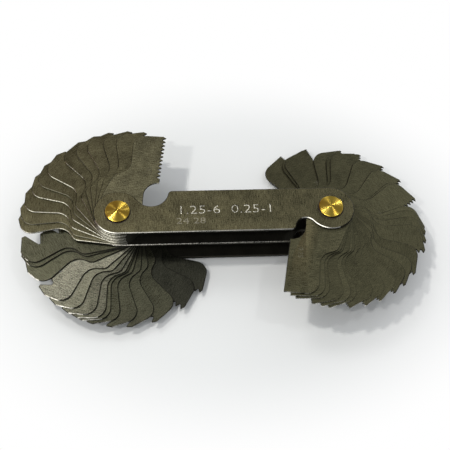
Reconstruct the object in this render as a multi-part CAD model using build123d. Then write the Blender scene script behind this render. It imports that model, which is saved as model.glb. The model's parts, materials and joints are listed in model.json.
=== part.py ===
"""Double-ended screw pitch gauge: thin toothed leaves that swing out of a riveted three-plate case.

Units are millimetres. The origin is the centre of the left rivet's foot, the flat face the gauge stands
on. +X runs along the case to the right rivet and +Z runs up through the stack of leaves. The leaves are
fanned out as when the gauge is laid down in use.
"""

from build123d import *
import math
import os

# Case: three plates punched to one outline, with lobes that are full rounds about the rivets.
pivot_spacing = 57.5
case_width = 12.8
plate_thickness = 0.9

# Finger notches, where a thumb nail pushes the folded leaves out.
left_notch_radius = 4.65
left_notch_floor = 1.7
left_notch_lip_radius = 1.2
right_notch_radius = 2.7
right_notch_floor = 2.9
right_notch_lip_radius = 1.5

# Rivets: brass, each with a turned head above the case and a flat foot under it.
shank_radius = 1.3
head_radius = 3.25
head_rim_height = 0.8
head_cone_height = 0.3
head_tip_radius = 0.4
head_edge_chamfer = 0.12
foot_height = 0.8

# Leaves: spring steel strip, stacked with a running gap above and below each one.
leaf_thickness = 0.45
leaf_gap = 0.04
bore_clearance = 0.05
leaf_reach = 26.0
leaf_neck_length = 6.4
leaf_notch_radius = 4.0
neck_taper_angle = 20.0
neck_back_length = 10.9
step_length = 1.9
head_width = 8.2
tooth_line_angle = 3.5
shoulder_radius = 2.2
step_radius = 3.8
outer_corner_radius = 3.4
folded_angle = 19.0

# Thread forms: the full angle of the groove, and its flats as shares of the pitch.
metric_groove_angle = 60.0
metric_flat_share = 1 / 8
inch_groove_angle = 55.0
inch_flat_share = 1 / 6
flat_from_pitch = 1.25
plain_edge = 0.2
inch = 25.4

# Pitches from the top of each stack down: millimetres in the upper bay, threads per inch in the lower.
left_metric_pitches = [1.25, 1.5, 1.75, 2, 2.5, 3, 3.5, 4, 4.5, 5, 5.5, 6]
right_metric_pitches = [0.25, 0.3, 0.35, 0.4, 0.45, 0.5, 0.6, 0.7, 0.75, 0.8, 0.9, 1]
left_inch_thread_counts = [4, 4.5, 5, 6, 7, 8, 9, 10, 11, 12, 13, 14, 16, 18]
right_inch_thread_counts = [19, 20, 22, 24, 25, 26, 28, 30, 32, 36, 40, 48, 60, 62]

# How far each leaf is swung out from its folded place, in degrees, from the top of each stack down.
left_metric_swing_angles = [66, 78, 87, 98, 106, 115, 129, 138, 146, 157, 166, 172]
right_metric_swing_angles = [63, 67, 70, 79, 84, 88, 99, 108, 117, 127, 135, 145]
left_inch_swing_angles = [192, 195, 206, 224, 233, 242, 248, 251, 257, 268, 279, 293, 311, 326]
right_inch_swing_angles = [163, 170, 176, 180, 200, 202, 216, 230, 246, 249, 258, 279, 281, 295]

# Values that follow from the sizes above.
hub_radius = case_width / 2
leaf_bore_radius = shank_radius + bore_clearance
leaf_slab = leaf_thickness + leaf_gap
lower_cover_base = foot_height
inch_bay_base = lower_cover_base + plate_thickness
divider_base = inch_bay_base + len(left_inch_thread_counts) * leaf_slab + leaf_gap
metric_bay_base = divider_base + plate_thickness
upper_cover_base = metric_bay_base + len(left_metric_pitches) * leaf_slab + leaf_gap
case_top = upper_cover_base + plate_thickness


def polar(radius, degrees):
    return (radius * math.cos(math.radians(degrees)), radius * math.sin(math.radians(degrees)))


def notch_edges(radius, floor, lip_radius):
    """Outline of a lobe and its notch on the +Y side of a pivot at the origin, as arcs.

    The notch is one arc that the lobe runs into smoothly. A small lip then turns into the straight edge.
    Returns the edges, with the point where the lobe begins and the point where the straight edge begins.
    """
    centre_y = floor + radius
    centre_x = math.sqrt((hub_radius + radius) ** 2 - centre_y**2)
    lip_y = hub_radius - lip_radius
    lip_x = centre_x + math.sqrt((radius + lip_radius) ** 2 - (lip_y - centre_y) ** 2)
    join_angle = math.degrees(math.atan2(centre_y, centre_x))
    lip_angle = math.degrees(math.atan2(lip_y - centre_y, lip_x - centre_x))
    lobe_start = (0, -hub_radius)
    lobe_end = polar(hub_radius, join_angle)
    notch_end = Vector(centre_x, centre_y) + Vector(*polar(radius, lip_angle))
    lip_end = (lip_x, hub_radius)
    lip_turn = (lip_angle + 180 + 90) / 2
    edges = [
        Edge.make_three_point_arc(lobe_start, (-hub_radius, 0), (0, hub_radius)),
        Edge.make_three_point_arc((0, hub_radius), polar(hub_radius, (90 + join_angle) / 2), lobe_end),
        Edge.make_three_point_arc(lobe_end, (centre_x, floor), notch_end),
        Edge.make_three_point_arc(
            notch_end, Vector(lip_x, lip_y) + Vector(*polar(lip_radius, lip_turn)), lip_end
        ),
    ]
    return edges, lobe_start, lip_end


def case_plate(base):
    """One plate of the case, with a rivet hole in each lobe and a notch near each end, on opposite sides."""
    left, left_start, left_end = notch_edges(left_notch_radius, left_notch_floor, left_notch_lip_radius)
    right, right_start, right_end = notch_edges(
        right_notch_radius, right_notch_floor, right_notch_lip_radius
    )
    turned = Location((pivot_spacing, 0, 0), (0, 0, 180))
    right = [edge.moved(turned) for edge in right]
    right_start = (pivot_spacing, hub_radius)
    right_end = (pivot_spacing - right_end[0], -right_end[1])
    outline = Wire(
        left
        + [Edge.make_line(left_end, right_start)]
        + right
        + [Edge.make_line(right_end, left_start)]
    )
    holes = [Pos(x, 0) * Circle(shank_radius) for x in (0, pivot_spacing)]
    return extrude(Pos(0, 0, base) * (Face(outline) - holes), plate_thickness, dir=(0, 0, 1))


def rivet(pivot_x):
    """A brass rivet: foot, shank through all the leaves and plates, and a turned head with a shallow cone."""
    rim_top = case_top + head_rim_height
    profile = Polyline(
        (0, 0),
        (head_radius, 0),
        (head_radius, foot_height),
        (shank_radius, foot_height),
        (shank_radius, case_top),
        (head_radius, case_top),
        (head_radius, rim_top - head_edge_chamfer),
        (head_radius - head_edge_chamfer, rim_top),
        (head_tip_radius, rim_top + head_cone_height),
        (0, rim_top + head_cone_height),
        close=True,
    )
    section = Plane.XZ * make_face(profile)
    return Pos(pivot_x, 0, 0) * revolve(section, Axis.Z)


def toothed_edge(pitch, groove_angle, flat_share):
    """Points of the thread form along a leaf's edge, from the end of the leaf in towards its notch.

    The edge runs outwards a little from the notch to the end. The outermost tooth is whole: its outer
    flank runs down to the end of the leaf.
    """
    edge_y = -(hub_radius + leaf_notch_radius)
    flat = flat_share * pitch if pitch >= flat_from_pitch else 0
    flank_run = pitch / 2 - flat
    depth = flank_run / math.tan(math.radians(groove_angle / 2))
    points = [(leaf_reach, edge_y + depth), (leaf_reach - flank_run, edge_y)]
    first_crest = leaf_reach - flank_run - flat / 2
    room = first_crest - leaf_neck_length - leaf_notch_radius - plain_edge
    for groove in range(int(room / pitch)):
        middle = first_crest - (groove + 1 / 2) * pitch
        if flat:
            points.append((middle + (pitch - flat) / 2, edge_y))
            points.append((middle + flat / 2, edge_y + depth))
            points.append((middle - flat / 2, edge_y + depth))
            points.append((middle - (pitch - flat) / 2, edge_y))
        else:
            points.append((middle, edge_y + depth))
            points.append((middle - pitch / 2, edge_y))
    near_corner = Vector(leaf_neck_length + leaf_notch_radius, edge_y)
    level = [Vector(*point) - near_corner for point in points]
    return [near_corner + point.rotate(Axis.Z, -tooth_line_angle) for point in level]


def leaf(pitch, groove_angle, flat_share):
    """A leaf that points along +X with its teeth on the -Y side, its hub at the origin.

    The back edge leaves the hub as a tangent, turns at a shoulder and steps out to the head, which is a
    little wider at its end than at the notch.
    """
    edge_y = -(hub_radius + leaf_notch_radius)
    back_y = edge_y + head_width
    taper = math.radians(neck_taper_angle)
    tangent = polar(hub_radius, 90 - neck_taper_angle)
    shoulder = (
        tangent[0] + neck_back_length * math.cos(taper),
        tangent[1] - neck_back_length * math.sin(taper),
    )
    step = (shoulder[0] + step_length, back_y)
    teeth = toothed_edge(pitch, groove_angle, flat_share)
    back = FilletPolyline(
        tangent, shoulder, step, (leaf_reach, back_y), teeth[0],
        radius=[shoulder_radius, step_radius, outer_corner_radius],
    )
    near_corner = (leaf_neck_length + leaf_notch_radius, edge_y)
    notch_middle = Vector(leaf_neck_length, edge_y) + Vector(*polar(leaf_notch_radius, 45))
    neck_end = (leaf_neck_length, -hub_radius)
    edge = Polyline(*teeth, near_corner)
    notch = ThreePointArc(near_corner, notch_middle, neck_end)
    neck = Line(neck_end, (0, -hub_radius))
    hub = ThreePointArc((0, -hub_radius), (-hub_radius, 0), tangent)
    face = make_face([back, edge, notch, neck, hub]) - Circle(leaf_bore_radius)
    return extrude(face, leaf_thickness, dir=(0, 0, 1))


def leaf_stack(pivot_x, turned, bay_base, names, pitches, groove_angle, flat_share, swing_angles):
    """The leaves of one bay at one end, from the top down, each swung out on its rivet."""
    leaves = {}
    for place, (name, pitch, swing) in enumerate(zip(names, pitches, swing_angles)):
        height = bay_base + leaf_gap + (len(pitches) - 1 - place) * leaf_slab
        turn = Rot(0, 0, turned + folded_angle + swing)
        leaves[name] = Pos(pivot_x, 0, height) * turn * leaf(pitch, groove_angle, flat_share)
    return leaves


def metric_bay(pivot_x, turned, pitches, swing_angles):
    names = [f"metric_leaf_{pitch:g}mm".replace(".", "p") for pitch in pitches]
    return leaf_stack(
        pivot_x, turned, metric_bay_base, names, pitches, metric_groove_angle, metric_flat_share,
        swing_angles,
    )


def inch_bay(pivot_x, turned, thread_counts, swing_angles):
    names = [f"inch_leaf_{count:g}tpi".replace(".", "p") for count in thread_counts]
    pitches = [inch / count for count in thread_counts]
    return leaf_stack(
        pivot_x, turned, inch_bay_base, names, pitches, inch_groove_angle, inch_flat_share,
        swing_angles,
    )


parts = {
    "upper_cover": case_plate(upper_cover_base),
    "divider_plate": case_plate(divider_base),
    "lower_cover": case_plate(lower_cover_base),
    "left_rivet": rivet(0),
    "right_rivet": rivet(pivot_spacing),
}
parts.update(metric_bay(0, 0, left_metric_pitches, left_metric_swing_angles))
parts.update(metric_bay(pivot_spacing, 180, right_metric_pitches, right_metric_swing_angles))
parts.update(inch_bay(0, 0, left_inch_thread_counts, left_inch_swing_angles))
parts.update(inch_bay(pivot_spacing, 180, right_inch_thread_counts, right_inch_swing_angles))

os.makedirs("parts", exist_ok=True)
for name, solid in parts.items():
    export_step(solid, f"parts/{name}.step")
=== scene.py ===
import json
import math

import bmesh
import bpy
from mathutils import Matrix, Vector


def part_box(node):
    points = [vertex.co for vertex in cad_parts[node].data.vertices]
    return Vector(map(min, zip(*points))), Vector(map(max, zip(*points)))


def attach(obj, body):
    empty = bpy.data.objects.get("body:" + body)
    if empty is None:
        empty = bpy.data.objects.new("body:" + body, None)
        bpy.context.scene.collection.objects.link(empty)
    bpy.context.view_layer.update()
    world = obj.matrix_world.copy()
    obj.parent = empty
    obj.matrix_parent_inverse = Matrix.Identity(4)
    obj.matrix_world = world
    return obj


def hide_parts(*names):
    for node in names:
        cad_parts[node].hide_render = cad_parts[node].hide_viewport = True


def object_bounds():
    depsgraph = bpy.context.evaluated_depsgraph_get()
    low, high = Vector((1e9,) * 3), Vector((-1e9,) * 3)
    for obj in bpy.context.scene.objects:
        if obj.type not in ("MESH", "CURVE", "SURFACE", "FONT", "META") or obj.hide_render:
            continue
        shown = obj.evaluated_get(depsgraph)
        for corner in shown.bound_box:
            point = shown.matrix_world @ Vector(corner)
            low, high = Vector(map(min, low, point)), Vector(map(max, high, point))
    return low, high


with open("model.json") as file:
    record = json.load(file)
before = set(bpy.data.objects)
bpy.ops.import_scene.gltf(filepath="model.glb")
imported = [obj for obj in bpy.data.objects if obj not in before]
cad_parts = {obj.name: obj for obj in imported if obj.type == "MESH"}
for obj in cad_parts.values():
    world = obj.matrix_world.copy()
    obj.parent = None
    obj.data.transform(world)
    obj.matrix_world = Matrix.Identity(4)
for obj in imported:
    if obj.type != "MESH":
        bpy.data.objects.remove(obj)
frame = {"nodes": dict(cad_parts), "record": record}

cad_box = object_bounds()
record = frame["record"]
MM = 0.001


# The three plates of the case: rolled steel strip, ground across and punched from one die. They are dark and
# satin outside. The faces that look into the bays are painted black, painted shade inside the case, and the
# lower cover's rims are painted black too. The rims facing the front left, where hands and leaves rub them
# and where the light falls, are bright worn metal; the other rims are painted black, painted shade.
def new_material(name):
    material = bpy.data.materials.new(name)
    material.use_nodes = True
    return material, material.node_tree.nodes["Principled BSDF"]


def make_ground_steel():
    """Grinding lines, small pits, and the cloudy patches of the dark oily film on the steel."""
    group = bpy.data.node_groups.new("ground_steel", "ShaderNodeTree")
    for name, kind in (("Strip", "NodeSocketVector"), ("Roughness", "NodeSocketFloat"),
                       ("Mottle", "NodeSocketFloat"), ("Relief", "NodeSocketFloat")):
        group.interface.new_socket(name, in_out="INPUT", socket_type=kind)
    for name, kind in (("Roughness", "NodeSocketFloat"), ("Tone", "NodeSocketFloat"),
                       ("Normal", "NodeSocketVector")):
        group.interface.new_socket(name, in_out="OUTPUT", socket_type=kind)
    nodes, links = group.nodes, group.links
    source = nodes.new("NodeGroupInput")
    result = nodes.new("NodeGroupOutput")

    def noise(scale, detail, stretch=(1, 1, 1)):
        place = nodes.new("ShaderNodeVectorMath")
        place.operation = "MULTIPLY"
        place.inputs[1].default_value = stretch
        links.new(source.outputs["Strip"], place.inputs[0])
        texture = nodes.new("ShaderNodeTexNoise")
        texture.inputs["Scale"].default_value = scale
        texture.inputs["Detail"].default_value = detail
        links.new(place.outputs[0], texture.inputs["Vector"])
        centred = nodes.new("ShaderNodeMath")
        centred.operation = "SUBTRACT"
        centred.inputs[1].default_value = 0.5
        links.new(texture.outputs["Fac"], centred.inputs[0])
        return centred.outputs[0]

    def weigh(value, factor, base):
        step = nodes.new("ShaderNodeMath")
        step.operation = "MULTIPLY_ADD"
        links.new(value, step.inputs[0])
        for socket, given in ((step.inputs[1], factor), (step.inputs[2], base)):
            if isinstance(given, (int, float)):
                socket.default_value = given
            else:
                links.new(given, socket)
        return step.outputs[0]

    lines = noise(scale=1, detail=2, stretch=(6000, 560, 1))
    pits = noise(scale=3900, detail=3)
    patches = noise(scale=260, detail=4)
    sheets = noise(scale=14, detail=1)
    mixed = weigh(lines, 1.5, weigh(pits, 1.9, weigh(patches, 0.45, weigh(sheets, 0.8, 0))))
    links.new(weigh(mixed, source.outputs["Mottle"], 1.0), result.inputs["Tone"])
    links.new(weigh(patches, 0.25, source.outputs["Roughness"]), result.inputs["Roughness"])
    relief = weigh(lines, 0.8, weigh(pits, 1.0, 0))
    bump = nodes.new("ShaderNodeBump")
    bump.inputs["Distance"].default_value = 0.02 * MM
    links.new(source.outputs["Relief"], bump.inputs["Strength"])
    links.new(relief, bump.inputs["Height"])
    links.new(bump.outputs["Normal"], result.inputs["Normal"])
    return group


ground_steel = make_ground_steel()


def steel(name, colour, roughness, anisotropy, mottle, relief):
    """Ground steel that reads the strip map of its piece, which also gives the direction of its sheen.

    Mottle is how strongly its tone varies, and relief how deep its grinding lines and pits look.
    """
    material, shader = new_material(name)
    nodes, links = material.node_tree.nodes, material.node_tree.links
    shader.inputs["Metallic"].default_value = 1.0
    shader.inputs["Anisotropic"].default_value = anisotropy
    strip = nodes.new("ShaderNodeUVMap")
    strip.uv_map = "strip"
    along = nodes.new("ShaderNodeTangent")
    along.direction_type = "UV_MAP"
    along.uv_map = "strip"
    links.new(along.outputs[0], shader.inputs["Tangent"])
    grain = nodes.new("ShaderNodeGroup")
    grain.node_tree = ground_steel
    grain.inputs["Roughness"].default_value = roughness
    grain.inputs["Mottle"].default_value = mottle
    grain.inputs["Relief"].default_value = relief
    links.new(strip.outputs[0], grain.inputs["Strip"])
    links.new(grain.outputs["Roughness"], shader.inputs["Roughness"])
    links.new(grain.outputs["Normal"], shader.inputs["Normal"])
    tint = nodes.new("ShaderNodeVectorMath")
    tint.operation = "SCALE"
    tint.inputs[0].default_value = colour
    links.new(grain.outputs["Tone"], tint.inputs["Scale"])
    links.new(tint.outputs[0], shader.inputs["Base Color"])
    return material


def ramp(nodes, links, value, start, end, low=0.0, high=1.0, smooth=False):
    """Puts out low where the value is start and high where it is end."""
    step = nodes.new("ShaderNodeMapRange")
    step.interpolation_type = "SMOOTHSTEP" if smooth else "LINEAR"
    step.inputs["From Min"].default_value = start
    step.inputs["From Max"].default_value = end
    step.inputs["To Min"].default_value = low
    step.inputs["To Max"].default_value = high
    links.new(value, step.inputs["Value"])
    return step.outputs[0]


def painted_falloff_right_end(material):
    """Painted light and shade: the steel is lighter at the left end of the case and darker towards the
    right, a painted falloff of the light.
    """
    nodes, links = material.node_tree.nodes, material.node_tree.links
    place = nodes.new("ShaderNodeTexCoord")
    along_case = nodes.new("ShaderNodeSeparateXYZ")
    links.new(place.outputs["Object"], along_case.inputs[0])
    base_colour = nodes["Principled BSDF"].inputs["Base Color"]
    falloff_scaled = nodes.new("ShaderNodeVectorMath")
    falloff_scaled.operation = "SCALE"
    # Painted falloff of the light: the tone runs from 1.10 at the left to 0.72 at the right.
    falloff_tone = ramp(nodes, links, along_case.outputs["X"], 20 * MM, 52 * MM, 1.10, 0.72)
    links.new(falloff_tone, falloff_scaled.inputs["Scale"])
    links.new(base_colour.links[0].from_socket, falloff_scaled.inputs[0])
    links.new(falloff_scaled.outputs[0], base_colour)


case_steel = steel("case_steel", (0.210, 0.196, 0.112), 0.42, 0.35, 1.3, 0.8)
painted_falloff_right_end(case_steel)
rubbed_rim = steel("rubbed_rim", (0.74, 0.73, 0.67), 0.28, 0.0, 0.8, 0.3)
bare_edge = steel("bare_edge", (0.46, 0.45, 0.41), 0.30, 0.0, 2.8, 0.5)
# The black of the heat treatment, also used as painted shade: on rims turned from the light, inside the
# bays, along the cut edges and steps of the leaves, and beside the large stamped figures.
scale_black_and_shade = steel("scale_black_and_shade", (0.036, 0.035, 0.028), 0.55, 0.0, 0.5, 0.3)
face_slot, rim_slot, black_shade_slot, bare_slot = range(4)

# Points nearer than this are one point, and faces that meet at less than this angle are one flat face.
same_point = 0.002 * MM
same_plane_angle = 0.01
# A rim is where a level face meets a wall. The angles are in radians, the rest are parts of a normal.
rim_angle = 1.2
level_face = 0.99
upright_wall = 0.1
smooth_up_to = math.radians(18)
# Rims keep their finish on the side that faces the light and that a thumb rubs, which is the front and a
# little to the left; turned away, they are painted black, painted shade.
lit_side = Vector((-0.42, -0.91, 0))
toward_lit_side = 0.5
# The strip map also runs up a wall, by these shares of its height.
height_along = 0.3
height_across = 0.7


def nowhere(point):
    return False


def on_strip(point):
    return (point.x + height_along * point.z, point.y + height_across * point.z)


def punched(node, body, face_finish, rim_finish, rim, strip_at, sharp=nowhere, rubbed=nowhere):
    """A punched piece on the solid's own outline, with a fine chamfer on its rims but not where sharp.

    Its walls are black, heat-treatment black that also stands as painted shade along the cut edges, and the
    rims that face away from the light are painted black, painted shade. Where rubbed, the walls are bare,
    and so are the rims that face the light.
    """
    source = frame["nodes"][node]
    mesh = source.data.copy()
    mesh.name = node + "_punched"
    mesh.transform(source.matrix_world)
    mesh.materials.clear()
    for finish in (face_finish, rim_finish, scale_black_and_shade, bare_edge):
        mesh.materials.append(finish)
    shape = bmesh.new()
    shape.from_mesh(mesh)
    bmesh.ops.remove_doubles(shape, verts=shape.verts, dist=same_point)
    bmesh.ops.dissolve_limit(shape, angle_limit=same_plane_angle, verts=shape.verts, edges=shape.edges)
    for face in shape.faces:
        face.material_index = face_slot
    rims = [
        edge for edge in shape.edges
        if len(edge.link_faces) == 2
        and edge.calc_face_angle() > rim_angle
        and max(abs(face.normal.z) for face in edge.link_faces) > level_face
        and not all(sharp(vert.co) for vert in edge.verts)
    ]
    bmesh.ops.bevel(
        shape, geom=rims, offset=rim, segments=1, profile=0.5, affect="EDGES", material=rim_slot,
        clamp_overlap=True,
    )
    shape.to_mesh(mesh)
    shape.free()
    for face in mesh.polygons:
        is_rim = face.material_index == rim_slot
        # Painted shade: walls, and rims turned away from the light, take the black finish.
        if abs(face.normal.z) < upright_wall:
            face.material_index = bare_slot if rubbed(face.center) else black_shade_slot
        elif is_rim and face.normal.dot(lit_side) < toward_lit_side:
            face.material_index = black_shade_slot
        elif is_rim and rubbed(face.center):
            face.material_index = bare_slot
    strip = mesh.uv_layers.new(name="strip")
    for loop in mesh.loops:
        strip.data[loop.index].uv = strip_at(mesh.vertices[loop.vertex_index].co)
    mesh.shade_smooth()
    mesh.set_sharp_from_angle(angle=smooth_up_to)
    piece = bpy.data.objects.new(node + "_punched", mesh)
    bpy.context.scene.collection.objects.link(piece)
    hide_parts(node)
    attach(piece, body)
    return piece


plate_rim = 0.18 * MM
front_edge = -6.1 * MM
broad_face = 0.9


def looks_down(face):
    return face.normal.z < -broad_face


def looks_up(face):
    return face.normal.z > broad_face


def behind_front_edge(face):
    return looks_down(face) or looks_up(face) or face.center.y > front_edge


# Painted shade: the faces inside the bays take the black finish, and the lower cover's rims are black as
# well.
for name, rim_finish, painted_shade_at in (
    ("upper_cover", rubbed_rim, looks_down),
    ("divider_plate", bare_edge, behind_front_edge),
    ("lower_cover", scale_black_and_shade, looks_up),
):
    plate = punched(name, "case", case_steel, rim_finish, plate_rim, on_strip)
    for face in plate.data.polygons:
        if painted_shade_at(face):
            face.material_index = black_shade_slot
cover_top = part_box("upper_cover")[1].z


# The two rivets: brass, each with a foot and a shank through the whole stack, and a head that is turned to a
# shallow cone. The tool marks run round the head, so that each lamp shows as a ray from its point. The side
# wall of each head is painted near black, and a thin dark ring lies on the cover round its foot: a painted
# contact shadow under each head.
def make_turned_brass():
    material, shader = new_material("turned_brass")
    nodes, links = material.node_tree.nodes, material.node_tree.links
    shader.inputs["Metallic"].default_value = 1.0
    shader.inputs["Anisotropic"].default_value = 0.95
    shader.inputs["Anisotropic Rotation"].default_value = 0.25
    tangent = nodes.new("ShaderNodeTangent")
    tangent.direction_type = "RADIAL"
    tangent.axis = "Z"
    links.new(tangent.outputs[0], shader.inputs["Tangent"])
    place = nodes.new("ShaderNodeTexCoord")
    stain = nodes.new("ShaderNodeTexNoise")
    stain.inputs["Scale"].default_value = 420
    stain.inputs["Detail"].default_value = 2
    links.new(place.outputs["Object"], stain.inputs["Vector"])
    colour = nodes.new("ShaderNodeMix")
    colour.data_type = "RGBA"
    stained, clean, mixed = colour.inputs[6], colour.inputs[7], colour.outputs[2]
    stained.default_value = (0.80, 0.46, 0.05, 1)
    clean.default_value = (0.97, 0.80, 0.16, 1)
    links.new(stain.outputs["Fac"], colour.inputs[0])
    links.new(mixed, shader.inputs["Base Color"])
    polish = ramp(nodes, links, stain.outputs["Fac"], 0.0, 1.0, 0.26, 0.37)
    links.new(polish, shader.inputs["Roughness"])
    return material


def plain_finish(name, colour, metallic, roughness):
    material, shader = new_material(name)
    shader.inputs["Base Color"].default_value = colour
    shader.inputs["Metallic"].default_value = metallic
    shader.inputs["Roughness"].default_value = roughness
    return material


turned_brass = make_turned_brass()
# Painted shade: near-black brass for the side wall and underside of each rivet, and a dark ring as a painted
# contact shadow.
shaded_brass = plain_finish("shaded_brass", (0.05, 0.032, 0.012, 1), 1.0, 0.5)
dark_oil = plain_finish("dark_oil", (0.022, 0.014, 0.006, 1), 0.0, 0.7)
shank_radius = 1.3 * MM
head_cone = 0.3 * MM
head_tip = 0.4 * MM
head_chamfer = 0.12 * MM
rivet_sides = 96
shadow_ring_width = 0.25 * MM
shadow_ring_height = 0.06 * MM
shadow_ring_sides = 64
lathe_radius = 1.0 * MM
turned_smooth_up_to = math.radians(25)
foot_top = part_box("lower_cover")[0].z


def make_turning():
    """Turns a profile of radii and heights about Z: it is swept round a circle, set back by its radius."""
    tree = bpy.data.node_groups.new("turning", "GeometryNodeTree")
    for name, kind in (("Profile", "NodeSocketGeometry"), ("Sides", "NodeSocketInt"),
                       ("Lathe Radius", "NodeSocketFloat"), ("Face Finish", "NodeSocketMaterial"),
                       ("Wall Finish", "NodeSocketMaterial")):
        tree.interface.new_socket(name, in_out="INPUT", socket_type=kind)
    tree.interface.new_socket("Turned", in_out="OUTPUT", socket_type="NodeSocketGeometry")
    nodes, links = tree.nodes, tree.links
    given = nodes.new("NodeGroupInput")
    lathe = nodes.new("GeometryNodeCurvePrimitiveCircle")
    links.new(given.outputs["Sides"], lathe.inputs["Resolution"])
    links.new(given.outputs["Lathe Radius"], lathe.inputs["Radius"])
    outline = nodes.new("GeometryNodeMeshToCurve")
    links.new(given.outputs["Profile"], outline.inputs["Mesh"])
    to_axis = nodes.new("ShaderNodeMath")
    to_axis.operation = "MULTIPLY"
    to_axis.inputs[1].default_value = -1
    links.new(given.outputs["Lathe Radius"], to_axis.inputs[0])
    shift = nodes.new("ShaderNodeCombineXYZ")
    links.new(to_axis.outputs[0], shift.inputs["X"])
    chucked = nodes.new("GeometryNodeTransform")
    chucked.inputs["Rotation"].default_value = (math.radians(90), 0, 0)
    links.new(outline.outputs["Curve"], chucked.inputs["Geometry"])
    links.new(shift.outputs[0], chucked.inputs["Translation"])
    sweep = nodes.new("GeometryNodeCurveToMesh")
    links.new(lathe.outputs["Curve"], sweep.inputs["Curve"])
    links.new(chucked.outputs["Geometry"], sweep.inputs["Profile Curve"])
    outward = nodes.new("GeometryNodeFlipFaces")
    links.new(sweep.outputs["Mesh"], outward.inputs["Mesh"])
    closed = nodes.new("GeometryNodeMergeByDistance")
    closed.inputs["Distance"].default_value = 0.001 * MM
    links.new(outward.outputs["Mesh"], closed.inputs["Geometry"])
    facing = nodes.new("GeometryNodeInputNormal")
    upward = nodes.new("ShaderNodeSeparateXYZ")
    links.new(facing.outputs["Normal"], upward.inputs[0])
    is_wall = nodes.new("FunctionNodeCompare")
    is_wall.operation = "LESS_THAN"
    is_wall.inputs["B"].default_value = 0.3
    links.new(upward.outputs["Z"], is_wall.inputs["A"])
    whole = nodes.new("GeometryNodeRealizeInstances")
    links.new(closed.outputs["Geometry"], whole.inputs["Geometry"])
    faces = nodes.new("GeometryNodeSetMaterial")
    links.new(whole.outputs["Geometry"], faces.inputs["Geometry"])
    links.new(given.outputs["Face Finish"], faces.inputs["Material"])
    walls = nodes.new("GeometryNodeSetMaterial")
    links.new(faces.outputs["Geometry"], walls.inputs["Geometry"])
    links.new(is_wall.outputs["Result"], walls.inputs["Selection"])
    links.new(given.outputs["Wall Finish"], walls.inputs["Material"])
    links.new(walls.outputs["Geometry"], nodes.new("NodeGroupOutput").inputs["Turned"])
    return tree


turning = make_turning()
turning_inputs = {
    item.name: item.identifier for item in turning.interface.items_tree if item.in_out == "INPUT"
}


def turned(name, centre_x, profile, sides, face_finish, wall_finish):
    line = bpy.data.meshes.new(name + "_profile")
    line.from_pydata(
        [(radius, 0, height) for radius, height in profile],
        [(at, at + 1) for at in range(len(profile) - 1)], [],
    )
    piece = bpy.data.objects.new(name, line)
    bpy.context.scene.collection.objects.link(piece)
    turn_it = piece.modifiers.new("turning", "NODES")
    turn_it.node_group = turning
    turn_it[turning_inputs["Sides"]] = sides
    turn_it[turning_inputs["Lathe Radius"]] = lathe_radius
    turn_it[turning_inputs["Face Finish"]] = face_finish
    turn_it[turning_inputs["Wall Finish"]] = wall_finish
    bpy.context.view_layer.update()
    mesh = bpy.data.meshes.new_from_object(piece.evaluated_get(bpy.context.evaluated_depsgraph_get()))
    piece.modifiers.remove(turn_it)
    piece.data = mesh
    mesh.name = name
    mesh.transform(Matrix.Translation((centre_x, 0, 0)))
    mesh.shade_smooth()
    mesh.set_sharp_from_angle(angle=turned_smooth_up_to)
    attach(piece, "case")
    return piece


for node in ("left_rivet", "right_rivet"):
    low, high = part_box(node)
    centre_x = (low.x + high.x) / 2
    radius = (high.x - low.x) / 2
    rim = high.z - head_cone
    rivet_profile = [
        (0, 0), (radius, 0), (radius, foot_top), (shank_radius, foot_top), (shank_radius, cover_top),
        (radius, cover_top), (radius, rim - head_chamfer), (radius - head_chamfer, rim),
        (head_tip, high.z), (0, high.z),
    ]
    shadow_ring_profile = [
        (radius, cover_top), (radius + shadow_ring_width, cover_top), (radius, cover_top + shadow_ring_height),
        (radius, cover_top),
    ]
    # Painted contact shadow: the head's wall takes the near-black brass, and a dark ring is turned round its
    # foot.
    rivet = turned(node + "_turned", centre_x, rivet_profile, rivet_sides, turned_brass, shaded_brass)
    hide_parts(node)
    turned(node + "_oil", centre_x, shadow_ring_profile, shadow_ring_sides, dark_oil, dark_oil)

# The leaves: spring steel strip ground across, one blank for all, with the thread form cut along one edge.
# The leaves at the right end are painted darker, a painted falloff of the light. At the left end a few
# leaves are painted lighter, a painted sheen where the light falls, and the two lowest are painted darker,
# painted shade. The cut edges are rubbed bare at the tips of the leaves.
leaf_steel = steel("leaf_steel", (0.182, 0.172, 0.100), 0.44, 0.4, 1.3, 1.2)
# Painted falloff of the light: the darker steel of the leaves at the right end.
right_end_shaded_steel = steel("right_end_shaded_steel", (0.110, 0.106, 0.062), 0.45, 0.3, 0.9, 0.6)
# Painted shade: the darker steel of the two lowest leaves at the left end.
lowest_shaded_steel = steel("lowest_shaded_steel", (0.056, 0.057, 0.043), 0.46, 0.2, 1.2, 0.8)
# Painted sheen: the lighter steel of the leaf at the left end where the light falls most.
painted_sheen_steel = steel("painted_sheen_steel", (0.224, 0.222, 0.172), 0.44, 0.45, 1.9, 2.0)
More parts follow.
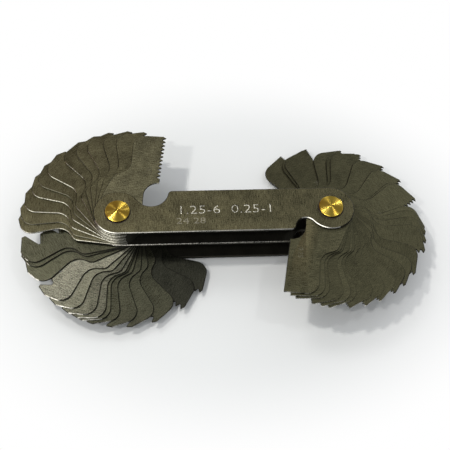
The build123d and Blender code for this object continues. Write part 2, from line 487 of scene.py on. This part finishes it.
# A painted half sheen for the next leaves at the left end; the leaf figures use this steel too.
sheen_and_figures_steel = steel("sheen_and_figures_steel", (0.176, 0.176, 0.130), 0.44, 0.45, 1.7, 1.8)
greyed_steel = steel("greyed_steel", (0.112, 0.113, 0.076), 0.45, 0.3, 1.3, 1.0)
handled_steel = steel("handled_steel", (0.232, 0.222, 0.135), 0.43, 0.4, 1.3, 1.2)
fingered_steel = steel("fingered_steel", (0.143, 0.137, 0.080), 0.45, 0.3, 1.0, 0.8)
worn_rim = steel("worn_rim", (0.42, 0.41, 0.35), 0.32, 0.0, 2.0, 0.5)
dull_rim = steel("dull_rim", (0.14, 0.135, 0.10), 0.40, 0.0, 0.8, 0.5)
left_inch_counts = "4 4p5 5 6 7 8 9 10 11 12 13 14 16 18".split()
left_inch_finishes = (
    3 * [greyed_steel] + [painted_sheen_steel] + 3 * [sheen_and_figures_steel] + 5 * [greyed_steel] + 2 * [lowest_shaded_steel]
)
leaf_finishes = {
    f"inch_leaf_{count}tpi": finish for count, finish in zip(left_inch_counts, left_inch_finishes)
}
leaf_finishes["metric_leaf_1p25mm"] = handled_steel
leaf_finishes["metric_leaf_0p25mm"] = fingered_steel
worn_rim_width = 0.13 * MM
black_rim_width = 0.16 * MM
inch_in_mm = 25.4
# With a leaf's pivot at the origin and its neck along X: where its bare tip begins, and the line that its
# teeth lie beyond. Teeth finer than this pitch, in millimetres, keep sharp rims.
tip_from = 25.7 * MM
tooth_line = -10.0 * MM
finest_rimmed_pitch = 0.8
# The angle of a folded leaf in part.py, in degrees, and the step along the map from one leaf to the next, so
# that no two leaves have the same marks.
folded_angle = 19
strip_per_leaf = 0.06
every_third = 3


def pitch_written(node):
    return node.split("_leaf_")[1].removesuffix("mm").removesuffix("tpi").replace("p", ".")


def finish_leaf(joint, place):
    body = joint["child"]
    node = record["behaviour"]["bodies"][body][0]
    pivot = Vector((joint["pos_m"][0], joint["pos_m"][1], 0))
    at_right_end = pivot.x > cad_centre.x
    end_turn = 180 if at_right_end else 0
    angle = math.radians(end_turn + folded_angle - joint["range_deg"][0])
    to_leaf = Matrix.Rotation(-angle, 4, "Z") @ Matrix.Translation(-pivot)
    written = float(pitch_written(node))
    pitch = written if node.endswith("mm") else inch_in_mm / written

    def on_leaf(point):
        along, across = on_strip(to_leaf @ point)
        return (along + place * strip_per_leaf, across)

    def fine_tooth(point):
        return pitch < finest_rimmed_pitch and (to_leaf @ point).y < tooth_line

    def tip(point):
        return (to_leaf @ point).x > tip_from

    finish = leaf_finishes.get(node, right_end_shaded_steel if at_right_end else leaf_steel)
    # Painted shade: on the inch leaves and at the right end, the rims are black, a painted shade line along
    # each step of the stack.
    if at_right_end or node.endswith("tpi"):
        rim_finish, rim = scale_black_and_shade, black_rim_width
    else:
        rim_finish, rim = dull_rim if place % every_third == 1 else worn_rim, worn_rim_width
    punched(node, body, finish, rim_finish, rim, on_leaf, fine_tooth, tip)
    return body, node, pivot, angle


cad_centre = (Vector(cad_box[0]) + Vector(cad_box[1])) / 2
leaves = [finish_leaf(joint, place) for place, joint in enumerate(record["behaviour"]["joints"])]

# The figures stamped in the steel: the pitches at each end and the counts of leaves on the cover, and each
# leaf's own pitch on its head. The punch throws up a thin burr along each stroke. In the large figures a
# dark copy lies under the burr, set a little to the right and back: a painted shadow beside the bright burr.
punch_burr = steel("punch_burr", (0.70, 0.67, 0.55), 0.40, 0.0, 2.0, 1.5)
punch_burr.node_tree.nodes["Principled BSDF"].inputs["Metallic"].default_value = 0.3
worn_burr = steel("worn_burr", (0.48, 0.46, 0.35), 0.40, 0.0, 1.0, 1.0)
burr_height = 0.02 * MM
cap_height = 0.7


def stamped(name, words, finish, height, width, thin, place, body):
    """Figures of a height and, where it is given, a width. Their strokes lose thin on each side."""
    curve = bpy.data.curves.new(name, "FONT")
    curve.body = words
    curve.size = height / cap_height
    curve.align_x = "CENTER"
    curve.align_y = "CENTER"
    curve.resolution_u = 2
    curve.offset = -thin - burr_height
    curve.bevel_depth = burr_height
    curve.bevel_resolution = 0
    text = bpy.data.objects.new(name + "_outline", curve)
    bpy.context.scene.collection.objects.link(text)
    bpy.context.view_layer.update()
    mesh = bpy.data.meshes.new_from_object(text.evaluated_get(bpy.context.evaluated_depsgraph_get()))
    bpy.data.objects.remove(text)
    across = [vert.co.x for vert in mesh.vertices]
    upward = [vert.co.y for vert in mesh.vertices]
    spread = width / (max(across) - min(across)) if width else 1
    lift = height / (max(upward) - min(upward))
    middle = Vector(((max(across) + min(across)) / 2, (max(upward) + min(upward)) / 2, 0))
    mesh.transform(Matrix.Diagonal((spread, lift, 1, 1)) @ Matrix.Translation(-middle))
    mesh.transform(place)
    mesh.materials.clear()
    mesh.materials.append(finish)
    strip = mesh.uv_layers.new(name="strip")
    for loop in mesh.loops:
        strip.data[loop.index].uv = on_strip(mesh.vertices[loop.vertex_index].co)
    piece = bpy.data.objects.new(name, mesh)
    bpy.context.scene.collection.objects.link(piece)
    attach(piece, body)
    return piece


pitches_height, pitches_width = 2.5 * MM, 24.4 * MM
pitches_x, pitches_y = 29.0 * MM, 0.25 * MM
pitches_thinned = 0.05 * MM
shadow_aside = 0.11 * MM
shadow_sunk = 0.01 * MM
# Painted shadow: a dark copy of the figures, set aside and sunk under the bright burr.
for name, finish, aside, sunk in (
    ("burr_shadow", scale_black_and_shade, shadow_aside, shadow_sunk),
    ("burr", punch_burr, 0, 0),
):
    pitches_place = Matrix.Translation((pitches_x + aside, pitches_y + aside, cover_top - sunk))
    stamped(
        "cover_pitches_" + name, "1.25-6  0.25-1", finish, pitches_height, pitches_width,
        pitches_thinned, pitches_place, "case",
    )
counts_height, counts_width = 1.8 * MM, 7.8 * MM
counts_place = Matrix.Translation((19.6 * MM, -3.1 * MM, cover_top))
stamped(
    "cover_counts", "24 28", worn_burr, counts_height, counts_width, 0, counts_place,
    "case",
)
leaf_figures_height = 1.3 * MM
leaf_figures_thinned = 0.02 * MM
on_leaf_head = Matrix.Translation((14.2 * MM, -7.4 * MM, 0))
for body, node, pivot, angle in leaves:
    leaf_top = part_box(node)[1].z
    on_pivot = Matrix.Translation((pivot.x, pivot.y, leaf_top))
    stamped(
        node + "_figures", pitch_written(node), sheen_and_figures_steel, leaf_figures_height, None,
        leaf_figures_thinned, on_pivot @ Matrix.Rotation(angle, 4, "Z") @ on_leaf_head, body,
    )

# The table top that the gauge lies on: a sheet of pale card. Outside an oval round the gauge, the light of
# the room washes it out to white.
table_half = 1.5
table_corners = ((-1, -1), (1, -1), (1, 1), (-1, 1))
table_mesh = bpy.data.meshes.new("table_top")
table_mesh.from_pydata([(table_half * x, table_half * y, 0) for x, y in table_corners], [], [(0, 1, 2, 3)])
table = bpy.data.objects.new("table_top", table_mesh)
card, card_shader = new_material("pale_card")
card_nodes, card_links = card.node_tree.nodes, card.node_tree.links
card_shader.inputs["Base Color"].default_value = (0.71, 0.72, 0.71, 1)
card_shader.inputs["Roughness"].default_value = 0.8
card_shader.inputs["Specular IOR Level"].default_value = 0.1
washed = card_nodes.new("ShaderNodeEmission")
washed.inputs["Strength"].default_value = 1.0
spot = card_nodes.new("ShaderNodeTexCoord")
oval = card_nodes.new("ShaderNodeMapping")
oval.vector_type = "TEXTURE"
oval.inputs["Location"].default_value = (29 * MM, -2 * MM, 0)
oval.inputs["Scale"].default_value = (78 * MM, 56 * MM, 1)
card_links.new(spot.outputs["Object"], oval.inputs["Vector"])
reach = card_nodes.new("ShaderNodeVectorMath")
reach.operation = "LENGTH"
card_links.new(oval.outputs[0], reach.inputs[0])
fade = ramp(card_nodes, card_links, reach.outputs["Value"], 0.62, 1.12, smooth=True)
blend = card_nodes.new("ShaderNodeMixShader")
card_links.new(fade, blend.inputs[0])
card_links.new(card_shader.outputs[0], blend.inputs[1])
card_links.new(washed.outputs[0], blend.inputs[2])
card_links.new(blend.outputs[0], card_nodes["Material Output"].inputs["Surface"])
table_mesh.materials.append(card)
bpy.context.scene.collection.objects.link(table)

# The light of the studio: a white room, which the steel sees as a dark ceiling with a brown wall at the back
# left and a bright window low at the front left. Small lamps stand at the left, the front left, the right
# and the back right. A soft one behind shades the table in front, and two bare bulbs draw rays on the brass.
world = bpy.data.worlds.new("studio")
bpy.context.scene.world = world
world.use_nodes = True
world_nodes, world_links = world.node_tree.nodes, world.node_tree.links
world_nodes.clear()
world_out = world_nodes.new("ShaderNodeOutputWorld")
rays = world_nodes.new("ShaderNodeLightPath")
bearing = world_nodes.new("ShaderNodeTexCoord")


def room(colour, strength):
    shade = world_nodes.new("ShaderNodeBackground")
    shade.inputs["Color"].default_value = colour
    shade.inputs["Strength"].default_value = strength
    return shade.outputs[0]


def mixed_room(factor, first, second):
    choice = world_nodes.new("ShaderNodeMixShader")
    world_links.new(factor, choice.inputs[0])
    world_links.new(first, choice.inputs[1])
    world_links.new(second, choice.inputs[2])
    return choice.outputs[0]


def towards(direction, start, end):
    """A soft-edged mask, 1 about this direction. Start and end are how nearly a ray runs along it."""
    nearness = world_nodes.new("ShaderNodeVectorMath")
    nearness.operation = "DOT_PRODUCT"
    nearness.inputs[1].default_value = direction
    world_links.new(bearing.outputs["Generated"], nearness.inputs[0])
    return ramp(world_nodes, world_links, nearness.outputs["Value"], start, end, smooth=True)


wall = towards((-0.87, 0.50, 0), 0.30, 0.46)
window = towards((-0.611, -0.679, 0.407), 0.77, 0.95)
walled = mixed_room(wall, room((0.95, 0.97, 1.0, 1), 0.20), room((1.0, 0.40, 0.10, 1), 0.13))
in_steel = mixed_room(window, walled, room((1.0, 0.98, 0.93, 1), 2.3))
unseen = mixed_room(rays.outputs["Is Glossy Ray"], room((0.94, 0.96, 1.0, 1), 0.66), in_steel)
whole_room = mixed_room(rays.outputs["Is Camera Ray"], unseen, room((1, 1, 1, 1), 1.0))
world_links.new(whole_room, world_out.inputs[0])
gauge_middle = Vector((28 * MM, 0, 5 * MM))


def lamp(name, azimuth, elevation, distance, size, power, colour, on_table=True, on_steel=True):
    """A round lamp that faces the gauge. It lights the table, shows in the steel, or both.

    Its bearing and height are in degrees, its distance and size in metres and its power in watts.
    """
    data = bpy.data.lights.new(name, "AREA")
    data.shape = "DISK"
    data.size = size
    data.energy = power
    data.color = colour
    bearing_angle, height_angle = math.radians(azimuth), math.radians(elevation)
    direction = Vector((
        math.cos(height_angle) * math.cos(bearing_angle),
        math.cos(height_angle) * math.sin(bearing_angle),
        math.sin(height_angle),
    ))
    piece = bpy.data.objects.new(name, data)
    piece.location = gauge_middle + direction * distance
    piece.rotation_mode = "QUATERNION"
    piece.rotation_quaternion = direction.to_track_quat("Z", "Y")
    piece.visible_diffuse = on_table
    piece.visible_glossy = on_steel
    bpy.context.scene.collection.objects.link(piece)
    return piece


lamp("key", 167, 64, 0.50, 0.035, 0.78, (1.0, 0.98, 0.94))
lamp("front_left", 215, 55, 0.50, 0.03, 0.46, (1.0, 0.98, 0.96))
lamp("right", 3, 67, 1.00, 0.05, 0.6, (0.97, 0.98, 1.0))
lamp("back_right", 50, 37, 1.00, 0.10, 0.5, (0.98, 0.99, 1.0), on_table=False)
lamp("back_soft", 128, 52, 1.00, 0.30, 1.4, (1.0, 1.0, 1.0), on_steel=False)
lamp("glint_right", 5, 66, 1.00, 0.02, 0.45, (1.0, 0.99, 0.97), on_table=False)
lamp("glint_back", 52, 38, 1.00, 0.02, 0.30, (1.0, 0.99, 0.97), on_table=False)

# The camera stands where the photograph was taken from, which was worked out from the case's outline: in
# front of the gauge and near its left end, looking steeply down.
camera_data = bpy.data.cameras.new("camera")
camera_data.sensor_width = 36
camera_data.lens = 72
camera_data.clip_start = 10 * MM
camera = bpy.data.objects.new("camera", camera_data)
camera_place = Vector((0.012373, -0.122685, 0.207839 + cover_top))
camera_right = Vector((0.99745, -0.05368, 0.04696))
camera_up = Vector((0.02345, 0.8686, 0.49495))
camera_back = camera_right.cross(camera_up)
camera_turn = Matrix((camera_right, camera_up, camera_back)).transposed().to_4x4()
camera.matrix_world = Matrix.Translation(camera_place) @ camera_turn
bpy.context.scene.collection.objects.link(camera)
bpy.context.scene.camera = camera

bpy.context.scene.view_settings.view_transform = "Standard"
